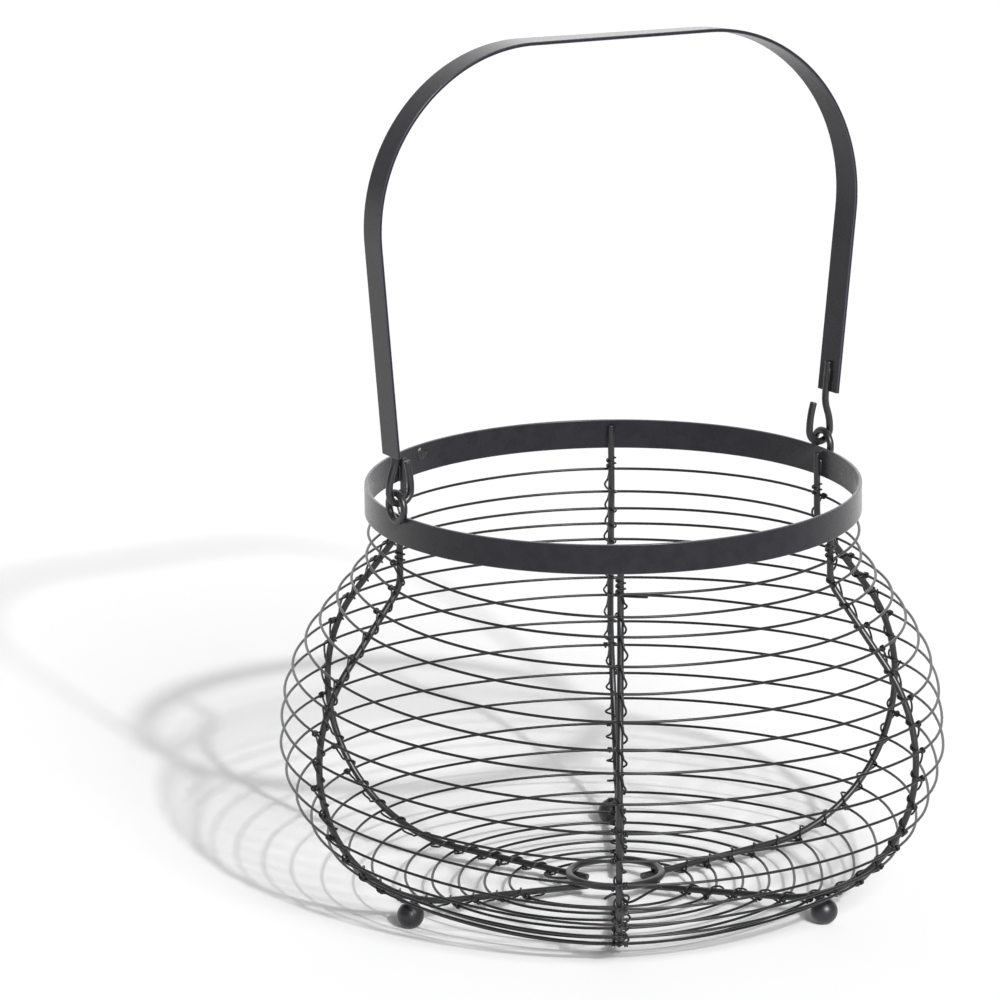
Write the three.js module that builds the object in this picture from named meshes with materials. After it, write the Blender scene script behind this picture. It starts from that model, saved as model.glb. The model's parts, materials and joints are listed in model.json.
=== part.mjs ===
// A wire egg basket of black coated steel, in millimetres, +Z up, standing on the table at Z = 0.
// The handle swings about the X direction, on two hooks that pass through the eyes on the rim.
import * as THREE from 'three';

// Rim, a flat strip rolled into a hoop
const rimRadius = 104; // outer face
const rimHeight = 12.5;
const rimThickness = 1.5;
const stripEdge = 0.4; // chamfer on the edges of both flat strips

// Ribs, thick wires that run from the rim round the belly to the middle of the base
const ribAngles = [-2, 58.3, 119, 176.5, 238.4, 300]; // degrees round the rim, set out by hand
const ribDiameter = 2.8;
const ribDrop = 2; // cut upper end below the rim's top edge
const neckLength = 25.2; // straight stretch from the cut end
const neckBend = 14.5; // radius of the bend under the neck
const neckSlope = 38; // degrees from upright between the neck and the belly
const bellyRadius = 140; // rib's centre line at its widest
const bellyBend = 66.3; // radius of the rib round the belly
const baseSlope = 3.7; // degrees that the base falls towards its middle
const baseHole = 13; // radius that the rib ends leave open

// Hoop wire, wound round the ribs in lengths that meet end to end, level but for a step at the front
const hoopDiameter = 1.15;
const hoopGap = 8.6; // from the rim's lower edge to the first turn, along the rib
const hoopPitch = 11.3; // between turns, along the rib
const hoopTail = 8; // free ends past the ribs that hold them
const hoopRing = 14; // least distance from the innermost turn to the rib ends
const hoopSag = 1.4; // drawn in half way between two ribs, at the belly
const startRib = 4; // rib that holds the upper end
const lengthTurns = 3; // turns in one length of wire
const endBays = 4; // bays that the last turn crosses
const stepBefore = 84; // degrees of the step down, before and after the starting rib
const stepAfter = 8;

// Tie wires, one wound along each rib, over the hoop wire at every crossing
const tieDiameter = 0.75;
const tieGap = 2.8; // from the rim's lower edge
const tieLead = 1.25; // turns above the first hoop

// Ring in the middle of the base, lying on the rib ends
const ringRadius = 19.5; // centre line
const ringDiameter = 3.2;

// Ball feet under every other rib, in a wider gap between two turns of the hoop wire
const footDiameter = 11.4;
const footFlat = 3; // diameter that touches the table
const footRadius = 97; // of the rib above the foot, before it is centred in its gap
const footGap = 14.4; // between the turns on each side of a foot
const footCount = 3;

// Eyes, wire rings standing against the outer face of the rim
const eyeDiameter = 14.8; // outside
const eyeWire = 3;
const eyeLiftRight = 0.5; // centre above the rim's top edge
const eyeLiftLeft = 4.1; // welded higher, so the handle leans to the right

// Hooks, bent wires from the handle's ends through the eyes and over the rim's top edge
const hookDiameter = 3;
const hookPlay = 0.5; // outer limb clear of the eye
const hookReach = 2; // inner limb clear of the rim's inner face
const hookJog = 3.5; // outer limb further out than the shank
const hookShank = 13; // length against the strip
const hookTail = 17.5; // height of the free end above the swing line
const hookLean = 2; // free end leaning towards the shank

// Handle, a flat strip bent to an arch
const handleWidth = 12.5;
const handleThickness = 1.5;
const handleSpan = 233.6; // across the shoulders, centre line to centre line
const handleRise = 185.4; // from the swing line to the middle of the top bar
const handleCorner = 70.7;
const handleEnd = 21.6; // lower ends above the swing line
const handleSlant = 3.3; // right corner lower than the left one
const handleShift = -0.6; // middle of the top bar off the middle of the two hooks

const seat = 0.3; // gap between pieces that touch

// Facets
const wireSides = 8;
const bendSteps = 8;
const hoopSides = 4;
const hoopSteps = 4; // in each bay between two ribs
const tieSides = 3;
const tieSteps = 6; // in each turn
const rimSteps = 60;
const ringSteps = 48; // round the base ring
const eyeSteps = 24; // round an eye
const ballSides = 16;

// Black coat
const coatColour = 0x2a2a2d;
const coatRoughness = 0.45;
const coatMetalness = 0.35;

const turn = 2 * Math.PI;
const ribCount = ribAngles.length;
const ribRadius = ribDiameter / 2;
const hoopRadius = hoopDiameter / 2;
const tieRadius = tieDiameter / 2;
const hookRadius = hookDiameter / 2;
const footBall = footDiameter / 2;
const neckRadius = rimRadius - rimThickness - seat - ribRadius;
const sideways = new THREE.Vector3(0, 1, 0);
const upright = new THREE.Vector3(0, 0, 1);

// Heights inside the basket are measured from the rim's top edge.
const underRim = rimHeight - ribDrop; // distance along a rib to the rim's lower edge

function addPiece(group, name, geometry) {
  const coat = { color: coatColour, roughness: coatRoughness, metalness: coatMetalness };
  const mesh = new THREE.Mesh(geometry, new THREE.MeshStandardMaterial(coat));
  mesh.name = name;
  group.add(mesh);
  return mesh;
}

function roundSection(diameter, sides) {
  return Array.from({ length: sides }, (_, i) => {
    const angle = (turn * (i + 0.5)) / sides;
    return [(diameter / 2) * Math.cos(angle), (diameter / 2) * Math.sin(angle)];
  });
}

// Section of a flat strip with chamfered edges.
function stripSection(thickness, width) {
  const u = thickness / 2;
  const v = width / 2;
  const quarter = [[u, v - stripEdge], [u - stripEdge, v]];
  const half = [...quarter, ...quarter.map(([a, b]) => [-a, b]).reverse()];
  return [...half, ...half.map(([a, b]) => [-a, -b])];
}

// Closed solid: a section carried along points, with its second axis near the given side direction.
function sweep(points, sides, section, looped = false) {
  const count = points.length;
  const size = section.length;
  const positions = [];
  const index = [];
  points.forEach((point, i) => {
    const before = points[looped ? (i + count - 1) % count : Math.max(i - 1, 0)];
    const after = points[looped ? (i + 1) % count : Math.min(i + 1, count - 1)];
    const along = after.clone().sub(before).normalize();
    const side = sides[i].clone().addScaledVector(along, -sides[i].dot(along)).normalize();
    const across = side.clone().cross(along);
    for (const [u, v] of section) {
      const corner = point.clone().addScaledVector(across, u).addScaledVector(side, v);
      positions.push(corner.x, corner.y, corner.z);
    }
  });
  const spans = looped ? count : count - 1;
  for (let i = 0; i < spans; i += 1) {
    const a = i * size;
    const b = ((i + 1) % count) * size;
    for (let j = 0; j < size; j += 1) {
      const k = (j + 1) % size;
      index.push(a + j, a + k, b + k, a + j, b + k, b + j);
    }
  }
  if (!looped) {
    const last = (count - 1) * size;
    for (let j = 1; j < size - 1; j += 1) {
      index.push(0, j + 1, j, last, last + j, last + j + 1);
    }
  }
  const geometry = new THREE.BufferGeometry();
  geometry.setAttribute('position', new THREE.Float32BufferAttribute(positions, 3));
  geometry.setIndex(index);
  geometry.computeVertexNormals();
  return geometry;
}

// Solid along an upright outline drawn as X across and Y up, placed in the XZ plane.
function sweepOutline(path, section) {
  const drawn = path.getPoints(bendSteps).map((p) => new THREE.Vector3(p.x, 0, p.y));
  const tooClose = 1e-4;
  const points = drawn.filter((p, i) => i === 0 || p.distanceTo(drawn[i - 1]) > tooClose);
  return sweep(points, points.map(() => sideways), section);
}

// Angle of a rib, counted on from the first one over any number of turns.
function ribAngle(number) {
  const whole = Math.floor(number / ribCount);
  return THREE.MathUtils.degToRad(ribAngles[number - whole * ribCount]) + whole * turn;
}

// Angle at a share of the way from one rib to the next.
function bayAngle(rib, share) {
  return THREE.MathUtils.lerp(ribAngle(rib), ribAngle(rib + 1), share);
}

// Least gap of a wire to itself, leaving out the points next to each other along it.
function leastGap(points, diameter, skip) {
  let least = Infinity;
  points.forEach((p, i) => {
    for (let j = i + skip; j < points.length; j += 1) {
      least = Math.min(least, p.distanceTo(points[j]));
    }
  });
  return least - diameter;
}

// Rib centre line: down the neck, out along a slope, round the belly and in along the base.
const slope = THREE.MathUtils.degToRad(neckSlope);
const heel = THREE.MathUtils.degToRad(90 - baseSlope);
const bends = neckBend + bellyBend;
const slopeRun = (bellyRadius - neckRadius - bends * (1 - Math.cos(slope))) / Math.sin(slope);
const neckFoot = -ribDrop - neckLength;
const bellyCentre = bellyRadius - bellyBend;
const bellyLevel = neckFoot - bends * Math.sin(slope) - slopeRun * Math.cos(slope);
const heelRadius = bellyCentre + bellyBend * Math.cos(heel);
const heelLevel = bellyLevel - bellyBend * Math.sin(heel);
const baseLevel = heelLevel - (heelRadius - baseHole) / Math.tan(heel);

const ribLine = new THREE.Path();
ribLine.moveTo(neckRadius, -ribDrop);
ribLine.lineTo(neckRadius, neckFoot);
ribLine.absarc(neckRadius + neckBend, neckFoot, neckBend, Math.PI, Math.PI + slope, false);
ribLine.absarc(bellyCentre, bellyLevel, bellyBend, slope, -heel, true);
ribLine.lineTo(baseHole, baseLevel);
const ribLength = ribLine.getLength();

// Point at a distance along the rib, with the directions along it and out of the basket.
function onRib(distance) {
  const share = distance / ribLength;
  const point = ribLine.getPoint(share);
  const along = ribLine.getTangent(share);
  return {
    point: new THREE.Vector3(point.x, 0, point.y),
    along: new THREE.Vector3(along.x, 0, along.y),
    out: new THREE.Vector3(-along.y, 0, along.x),
  };
}

// Turns of the hoop wire. The gap that holds the feet is the one nearest to footRadius.
const hoopStart = underRim + hoopGap;
const bellyStart = neckLength + neckBend * slope + slopeRun;
const footAngle = slope + Math.acos((footRadius - bellyCentre) / bellyBend);
const footReach = bellyStart + bellyBend * footAngle;
const footTurn = Math.round((footReach - footGap / 2 - hoopStart) / hoopPitch);
const widening = footGap - hoopPitch;
const fullTurns = Math.floor((ribLength - hoopRing - hoopStart - widening) / hoopPitch);

function turnDistance(number) {
  const passed = Math.max(number, 0);
  return hoopStart + passed * hoopPitch + (passed > footTurn ? widening : 0);
}

// Distance down the ribs at an angle along the wire: level, then a smooth step to the next turn.
const endRib = startRib + fullTurns * ribCount + endBays;
const startAngle = ribAngle(startRib);
const endAngle = ribAngle(endRib);
const stepEnd = startAngle + THREE.MathUtils.degToRad(stepAfter);
const stepShare = (stepBefore + stepAfter) / 360;

function hoopDistance(angle) {
  const turns = (angle - stepEnd) / turn;
  const whole = Math.floor(turns);
  const step = THREE.MathUtils.smoothstep(turns - whole, 1 - stepShare, 1);
  return THREE.MathUtils.lerp(turnDistance(whole), turnDistance(whole + 1), step);
}

// Angle at which the hoop wire first passes a rib.
function firstPass(rib) {
  return startAngle + THREE.MathUtils.euclideanModulo(ribAngle(rib) - startAngle, turn);
}

// Station of the hoop wire at an angle, drawn in by its share of the way between two ribs.
function hoopStation(angle, share) {
  const { point, out } = onRib(hoopDistance(angle));
  point.addScaledVector(out, ribRadius + seat + hoopRadius);
  point.x *= 1 - (hoopSag / bellyRadius) * Math.sin(Math.PI * share) ** 2;
  point.applyAxisAngle(upright, angle);
  return { angle, point, out: out.applyAxisAngle(upright, angle) };
}

const basket = new THREE.Group();

// Rim band
const rimMiddle = new THREE.Vector3(rimRadius - rimThickness / 2, 0, -rimHeight / 2);
const rimPoints = Array.from({ length: rimSteps }, (_, i) => {
  return rimMiddle.clone().applyAxisAngle(upright, (turn * i) / rimSteps);
});
const rimSection = stripSection(rimThickness, rimHeight);
addPiece(basket, 'rim_band', sweep(rimPoints, rimPoints.map(() => upright), rimSection, true));

// Ribs
for (let i = 0; i < ribCount; i += 1) {
  const geometry = sweepOutline(ribLine, roundSection(ribDiameter, wireSides));
  addPiece(basket, `rib_${i + 1}`, geometry).rotation.z = ribAngle(i);
}

// Hoop wire: the ends of two lengths meet over the starting rib, and the outer ends stand free.
function hoopLength(firstRib, lastRib) {
  const [first, last] = [ribAngle(firstRib), ribAngle(lastRib)];
  const before = firstRib === startRib ? hoopTail : -seat / 2;
  const after = lastRib === endRib ? hoopTail : -seat / 2;
  const from = first - before / onRib(hoopDistance(first)).point.x;
  const to = last + after / onRib(hoopDistance(last)).point.x;
  const stations = [hoopStation(from, 0)];
  for (let rib = firstRib; rib < lastRib; rib += 1) {
    for (let step = 0; step < hoopSteps; step += 1) {
      stations.push(hoopStation(bayAngle(rib, step / hoopSteps), step / hoopSteps));
    }
  }
  stations.push(hoopStation(last, 0), hoopStation(to, 0));
  return stations.filter(({ angle }) => angle >= from && angle <= to);
}

const hoopPoints = [];
const lengthBays = lengthTurns * ribCount;
const lengthCount = Math.round((endRib - startRib) / lengthBays);
for (let number = 1; number <= lengthCount; number += 1) {
  const lastRib = number < lengthCount ? startRib + number * lengthBays : endRib;
  const stations = hoopLength(startRib + (number - 1) * lengthBays, lastRib);
  const points = stations.map(({ point }) => point);
  const outs = stations.map(({ out }) => out);
  addPiece(basket, `hoop_wire_${number}`, sweep(points, outs, roundSection(hoopDiameter, hoopSides)));
  hoopPoints.push(...points);
}
console.log('hoop wire least gap to itself', leastGap(hoopPoints, hoopDiameter, hoopSteps).toFixed(2));

// Tie wires: each turn lies close to the rib inside the basket and stands off it over the hoop wire.
const tieClose = ribRadius + seat + tieRadius;
const tieOver = ribRadius + seat + hoopDiameter + seat + tieRadius;
const tieHalfStep = turn / tieSteps / 2;
const tieFar = tieClose + (tieOver / Math.cos(tieHalfStep) - tieClose) / Math.cos(tieHalfStep / 2);

// Where the hoop wire crosses a rib, and how far it falls along the rib for each millimetre across.
function hoopCrossing(angle) {
  const nudge = 0.01;
  const distance = hoopDistance(angle);
  const drop = hoopDistance(angle + nudge) - hoopDistance(angle - nudge);
  const across = hoopStation(angle, 0).point;
  return { distance, fall: drop / (2 * nudge * Math.hypot(across.x, across.y)) };
}

function tiePoints(rib) {
  const crossings = [];
  const rounding = 1e-6;
  for (let angle = firstPass(rib); angle < endAngle + rounding; angle += turn) {
    crossings.push(hoopCrossing(angle));
  }
  const final = crossings[crossings.length - 1];
  crossings.push({ ...final, distance: final.distance + hoopPitch });
  const leadPitch = (hoopGap - tieGap) / tieLead;
  const points = [];
  const lastStep = (crossings.length - 2) * tieSteps + tieSteps / 2;
  for (let step = -Math.round(tieLead * tieSteps); step < lastStep; step += 1) {
    const turns = (step + 0.5) / tieSteps;
    const whole = Math.max(Math.floor(turns), 0);
    const share = Math.max(turns - whole, 0);
    const lead = Math.min(turns, 0) * leadPitch;
    const middle = THREE.MathUtils.lerp(crossings[whole].distance, crossings[whole + 1].distance, share);
    const fall = THREE.MathUtils.lerp(crossings[whole].fall, crossings[whole + 1].fall, share);
    const angle = turns * turn;
    const reach = THREE.MathUtils.lerp(tieClose, tieFar, Math.abs(Math.cos(angle / 2)));
    const aside = reach * Math.sin(angle);
    const { point, along, out } = onRib(middle + lead + fall * aside);
    point.addScaledVector(out, reach * Math.cos(angle)).addScaledVector(sideways, aside);
    points.push({ point, along });
  }
  return points;
}

for (let i = 0; i < ribCount; i += 1) {
  const stations = tiePoints(i);
  const points = stations.map(({ point }) => point);
  const geometry = sweep(points, stations.map(({ along }) => along), roundSection(tieDiameter, tieSides));
  addPiece(basket, `tie_wire_${i + 1}`, geometry).rotation.z = ribAngle(i);
  const gap = leastGap(points, tieDiameter, tieSteps / 2);
  console.log(`tie_wire_${i + 1} least gap to itself`, gap.toFixed(2));
}

// Ring on the rib ends
const ringRest = baseLevel + (ringRadius - baseHole) / Math.tan(heel) + ribRadius / Math.sin(heel);
const ringGeometry = new THREE.TorusGeometry(ringRadius, ringDiameter / 2, wireSides, ringSteps);
addPiece(basket, 'base_ring', ringGeometry).position.z = ringRest + seat + ringDiameter / 2;

// Ball feet, each with a small flat where it stands, on average in the middle of their gaps
const footRibs = Array.from({ length: footCount }, (_, i) => Math.round(((i + 0.5) * ribCount) / footCount));
const gapMiddles = footRibs.map((rib) => {
  const above = firstPass(rib) + footTurn * turn;
  return (hoopDistance(above) + hoopDistance(above + turn)) / 2;
});
const footSeat = onRib(gapMiddles.reduce((sum, middle) => sum + middle) / footCount);
const footPlace = footSeat.point.clone().addScaledVector(footSeat.out, ribRadius + seat + footBall);
const flatAngle = Math.acos(footFlat / footDiameter);
const footOutline = new THREE.Path();
footOutline.moveTo(0, -footBall * Math.sin(flatAngle));
footOutline.lineTo(footFlat / 2, -footBall * Math.sin(flatAngle));
footOutline.absarc(0, 0, footBall, -flatAngle, Math.PI / 2, false);
footRibs.forEach((rib, i) => {
  const geometry = new THREE.LatheGeometry(footOutline.getPoints(bendSteps), ballSides);
  const foot = addPiece(basket, `foot_${i + 1}`, geometry.rotateX(Math.PI / 2));
  foot.position.copy(footPlace).applyAxisAngle(upright, ribAngle(rib));
});

// Eyes on the rim
const eyePlane = rimRadius + seat + eyeWire / 2;
const eyeCentreLine = (eyeDiameter - eyeWire) / 2;
for (const [name, side, lift] of [['right', 1, eyeLiftRight], ['left', -1, eyeLiftLeft]]) {
  const geometry = new THREE.TorusGeometry(eyeCentreLine, eyeWire / 2, wireSides, eyeSteps);
  addPiece(basket, `eye_${name}`, geometry.rotateY(Math.PI / 2)).position.set(side * eyePlane, 0, lift);
}

// Handle, drawn about the swing line, which is its own zero height
const handle = new THREE.Group();
const outerLimb = eyePlane + eyeWire / 2 + hookPlay + hookRadius;
const innerLimb = rimRadius - rimThickness - hookReach - hookRadius;
const shankFoot = new THREE.Vector2(outerLimb - hookJog, handleEnd);
const stripToShank = handleThickness / 2 + seat + hookRadius;
const armEnd = shankFoot.clone().add(new THREE.Vector2(stripToShank, 0));

// Corner of the arch, the angle at which the arm from its lower end is tangent to it, and the arm's top.
function handleArm(side) {
  const corner = new THREE.Vector2(
    handleSpan / 2 - handleCorner + side * handleShift,
    handleRise - handleCorner - (side * handleSlant) / 2,
  );
  const fromCorner = armEnd.clone().sub(corner);
  const angle = fromCorner.angle() - turn + Math.acos(handleCorner / fromCorner.length());
  const top = new THREE.Vector2(handleCorner, 0).rotateAround(new THREE.Vector2(), angle).add(corner);
  return { corner, angle, top };
}

const rightArm = handleArm(1);
const leftArm = handleArm(-1);
const barAngle = Math.PI / 2 - Math.atan2(handleSlant, rightArm.corner.x + leftArm.corner.x);
const archLine = new THREE.Path();
archLine.moveTo(armEnd.x, armEnd.y);
archLine.lineTo(rightArm.top.x, rightArm.top.y);
archLine.absarc(rightArm.corner.x, rightArm.corner.y, handleCorner, rightArm.angle, barAngle, false);
archLine.absarc(-leftArm.corner.x, leftArm.corner.y, handleCorner, barAngle, Math.PI - leftArm.angle, false);
archLine.lineTo(-armEnd.x, armEnd.y);
addPiece(handle, 'handle_strip', sweepOutline(archLine, stripSection(handleThickness, handleWidth)));

// Hooks: a shank along the strip, out to the outer limb, under through the eye and up to a free end
const limbBend = (outerLimb - innerLimb) / 2;

function hookLine(armAngle) {
  const armUp = new THREE.Vector2(-Math.sin(armAngle), Math.cos(armAngle));
  const shankTop = shankFoot.clone().addScaledVector(armUp, hookShank);
  const easeIn = shankFoot.clone().addScaledVector(armUp, -(handleEnd - limbBend) / 2);
  const line = new THREE.Path();
  line.moveTo(shankTop.x, shankTop.y);
  line.lineTo(shankFoot.x, shankFoot.y);
  line.bezierCurveTo(easeIn.x, easeIn.y, outerLimb, (handleEnd + limbBend) / 2, outerLimb, limbBend);
  line.absarc(outerLimb - limbBend, limbBend, limbBend, 0, -Math.PI, true);
  line.quadraticCurveTo(innerLimb, (hookTail + limbBend) / 2, innerLimb + hookLean, hookTail);
  return line;
}

const hookSection = roundSection(hookDiameter, wireSides);
addPiece(handle, 'hook_right', sweepOutline(hookLine(rightArm.angle), hookSection));
addPiece(handle, 'hook_left', sweepOutline(hookLine(leftArm.angle), hookSection)).rotation.z = Math.PI;

// The basket stands on the flats of its feet.
const rimTop = footBall * Math.sin(flatAngle) - footPlace.z;
basket.position.z = rimTop;

// The right hook rests on the rim, and the left one is as much higher as its eye is.
const hookSpread = outerLimb + innerLimb;
const handleLean = Math.asin((eyeLiftLeft - eyeLiftRight) / hookSpread);
const swingLine = seat + hookRadius + (eyeLiftLeft - eyeLiftRight) / 2;
handle.position.z = rimTop + swingLine;
handle.rotation.y = handleLean;
console.log('swing line height', handle.position.z.toFixed(3), 'lean', handleLean.toFixed(5));

const eggBasket = new THREE.Group();
eggBasket.add(basket, handle);
export default eggBasket;
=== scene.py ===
# Wire egg basket: smooth wires, bent strip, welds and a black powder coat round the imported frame.
# Sizes in the dictionaries are millimetres and degrees, unless a note says otherwise.
import json

import bpy
import numpy as np
from mathutils import Matrix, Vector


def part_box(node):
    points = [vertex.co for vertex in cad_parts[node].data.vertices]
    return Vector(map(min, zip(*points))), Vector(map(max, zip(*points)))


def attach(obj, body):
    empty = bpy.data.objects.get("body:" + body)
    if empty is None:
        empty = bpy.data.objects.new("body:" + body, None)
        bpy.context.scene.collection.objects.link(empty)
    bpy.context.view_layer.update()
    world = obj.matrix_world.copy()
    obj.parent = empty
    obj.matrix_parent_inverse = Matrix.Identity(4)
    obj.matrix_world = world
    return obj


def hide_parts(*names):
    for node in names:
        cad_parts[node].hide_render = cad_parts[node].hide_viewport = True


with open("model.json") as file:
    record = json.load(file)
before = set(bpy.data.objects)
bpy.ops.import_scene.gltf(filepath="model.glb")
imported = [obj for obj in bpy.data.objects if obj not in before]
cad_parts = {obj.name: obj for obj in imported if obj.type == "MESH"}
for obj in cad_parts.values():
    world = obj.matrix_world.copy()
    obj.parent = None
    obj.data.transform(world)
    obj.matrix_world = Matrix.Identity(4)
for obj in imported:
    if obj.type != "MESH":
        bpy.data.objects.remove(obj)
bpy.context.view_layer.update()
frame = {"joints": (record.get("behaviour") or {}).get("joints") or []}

mm = 0.001
fullTurn = 2 * np.pi
upright = np.array([0.0, 0.0, 1.0])
handmade = np.random.default_rng(7)


# Shapes shared by all pieces

def unit(vectors):
    # every row divided by its own length
    return vectors / np.linalg.norm(vectors, axis=-1, keepdims=True)


def smoothStep(share):
    # three times the square less twice the cube, held between 0 and 1
    share = np.clip(share, 0, 1)
    return share * share * (3 - 2 * share)


def roundSection(radius, sides):
    # circle: cosine and sine of equal angles times the radius
    angle = fullTurn * np.arange(sides) / sides
    return radius * np.stack([np.cos(angle), np.sin(angle)], 1)


def stripSection(thickness, width, corner, arcSteps=5, support=0.12):
    # rounded rectangle: a quarter arc about each corner's centre, with a point on the flat beside
    # each end of the arc that keeps the flats flat
    angle = np.linspace(0, np.pi / 2, arcSteps)
    arc = corner * np.stack([np.cos(angle), np.sin(angle)], 1) + [thickness / 2 - corner, width / 2 - corner]
    quarter = np.vstack([arc[0] - [0, support], arc, arc[-1] - [support, 0]])
    second = (quarter * [-1, 1])[::-1]
    return np.vstack([quarter, second, -quarter, -second])


def ringFaces(rows, columns, looped):
    # quads between neighbouring rings, each closed round its columns
    i = np.arange(rows if looped else rows - 1)[:, None]
    j = np.arange(columns)[None, :]
    after = (j + 1) % columns
    nextRow = (i + 1) % rows * columns
    row = i * columns
    quads = np.stack(np.broadcast_arrays(row + j, row + after, nextRow + after, nextRow + j), -1)
    return quads.reshape(-1, 4)


def sweep(path, side, section, looped=False, grow=None):
    # profile carried along a path: point + u across + v side, with side square to the path and across
    # square to both; grow scales the profile at each point
    along = np.roll(path, -1, 0) - np.roll(path, 1, 0) if looped else np.gradient(path, axis=0)
    along = unit(along)
    side = np.broadcast_to(side, path.shape)
    side = unit(side - (side * along).sum(1, keepdims=True) * along)
    across = np.cross(side, along)
    size = np.ones(len(path)) if grow is None else grow
    u = section[None, :, :1] * size[:, None, None]
    v = section[None, :, 1:] * size[:, None, None]
    points = path[:, None] + u * across[:, None] + v * side[:, None]
    rows, columns = points.shape[:2]
    caps = []
    if not looped:
        caps = [np.arange(columns)[::-1], np.arange(columns) + (rows - 1) * columns]
    return points.reshape(-1, 3), ringFaces(rows, columns, looped), caps


def cutWire(path, side, diameter, sides, rounding=0.35, arcSteps=4, spare=1.2):
    # tube with cut ends: the last stretch of the path, as long as the rounding, carries rings that
    # shrink along a quarter arc, and the path's own rings start a spare share further in
    radius = diameter / 2
    bend = np.linspace(0, np.pi / 2, arcSteps + 1)
    reach = rounding * radius * (1 - np.sin(bend))
    shrink = 1 - rounding * (1 - np.cos(bend))
    length = np.concatenate([[0], np.cumsum(np.linalg.norm(np.diff(path, axis=0), axis=1))])
    rounded = rounding * radius * spare
    inner = length[(length > rounded) & (length < length[-1] - rounded)]
    stations = np.concatenate([reach[::-1], inner, length[-1] - reach])
    grow = np.concatenate([shrink[::-1], np.ones(len(inner)), shrink])
    side = np.broadcast_to(side, path.shape)
    points = np.stack([np.interp(stations, length, path[:, k]) for k in range(3)], 1)
    side = np.stack([np.interp(stations, length, side[:, k]) for k in range(3)], 1)
    return sweep(points, side, roundSection(radius, sides), grow=grow)


def joinShapes(shapes):
    # several shapes as one: points stacked, and each shape's faces moved on by the points before it
    offsets = np.cumsum([0] + [len(points) for points, _, _ in shapes[:-1]])
    points = np.vstack([shape[0] for shape in shapes])
    quads = np.vstack([shape[1] + offset for shape, offset in zip(shapes, offsets)])
    caps = [cap + offset for shape, offset in zip(shapes, offsets) for cap in shape[2]]
    return points, quads, caps


def lump(centre, axes, phase, rings=9, sides=18, ripple=0.10, pole=0.12):
    # weld bead: ellipsoid on three half axes, its radius rippled by a cosine of three times the turn
    # and one of twice the angle from its top
    polar = np.linspace(pole, np.pi - pole, rings)[:, None]
    turn = (fullTurn * np.arange(sides) / sides)[None, :]
    radius = 1 + ripple * np.sin(polar) * np.cos(3 * turn + phase) + ripple * np.cos(2 * polar + phase)
    level = radius * np.sin(polar)
    ball = np.stack([level * np.cos(turn), level * np.sin(turn), radius * np.cos(polar)], -1)
    points = centre + ball.reshape(-1, 3) @ np.asarray(axes)
    top = np.arange(sides)
    bottom = top + (rings - 1) * sides
    quads = ringFaces(rings, sides, False)
    if np.linalg.det(axes) < 0:
        return points, quads, [top[::-1], bottom]
    return points, quads[:, ::-1], [top, bottom[::-1]]


def addPiece(name, shape, coat, body, nodes=(), edge=None):
    # mesh in metres from points in millimetres, smooth on its quads and flat on its cut ends
    points, quads, caps = shape
    mesh = bpy.data.meshes.new(name)
    mesh.from_pydata((points * mm).tolist(), [], quads.tolist() + [cap.tolist() for cap in caps])
    smooth = np.zeros(len(mesh.polygons), bool)
    smooth[:len(quads)] = True
    mesh.polygons.foreach_set("use_smooth", smooth)
    if edge is not None:
        mesh.attributes.new("edgeLight", "FLOAT", "POINT").data.foreach_set("value", edge.astype(np.float32))
    mesh.validate()
    mesh.materials.append(coat)
    piece = bpy.data.objects.new(name, mesh)
    bpy.context.scene.collection.objects.link(piece)
    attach(piece, body)
    if nodes:
        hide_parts(*nodes)


def nodeBox(node):
    # lowest and highest corner of a CAD node, in millimetres
    low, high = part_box(node)
    return np.array(low) / mm, np.array(high) / mm


# Powder coats

coats = {
    "strip": {"black": (0.0080, 0.0120), "blue": 1.35, "rough": (0.24, 0.31), "shine": 0.30, "dust": 0.40},
    "wire": {"black": (0.0040, 0.0065), "blue": 1.30, "rough": (0.35, 0.43), "shine": 0.70, "dust": 0.0},
    "thinWire": {"black": (0.0060, 0.0095), "blue": 1.20, "rough": (0.34, 0.44), "shine": 0.38, "dust": 0.1},
    "ball": {"black": (0.0100, 0.0140), "blue": 1.25, "rough": (0.36, 0.44), "shine": 0.58, "dust": 0.1},
}
# edgePale: grey of the painted edge highlight, partly a thinner coat on the edges
grain = {
    "mottle": 170, "mottleDetail": 3, "blackStops": (0.36, 0.66), "edgePale": 0.05, "dustSpread": 0.3,
    "peel": 1500, "peelDetail": 2, "peelDepth": 0.00005, "peelStrength": 0.22,  # per metre, and metres deep
}


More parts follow.
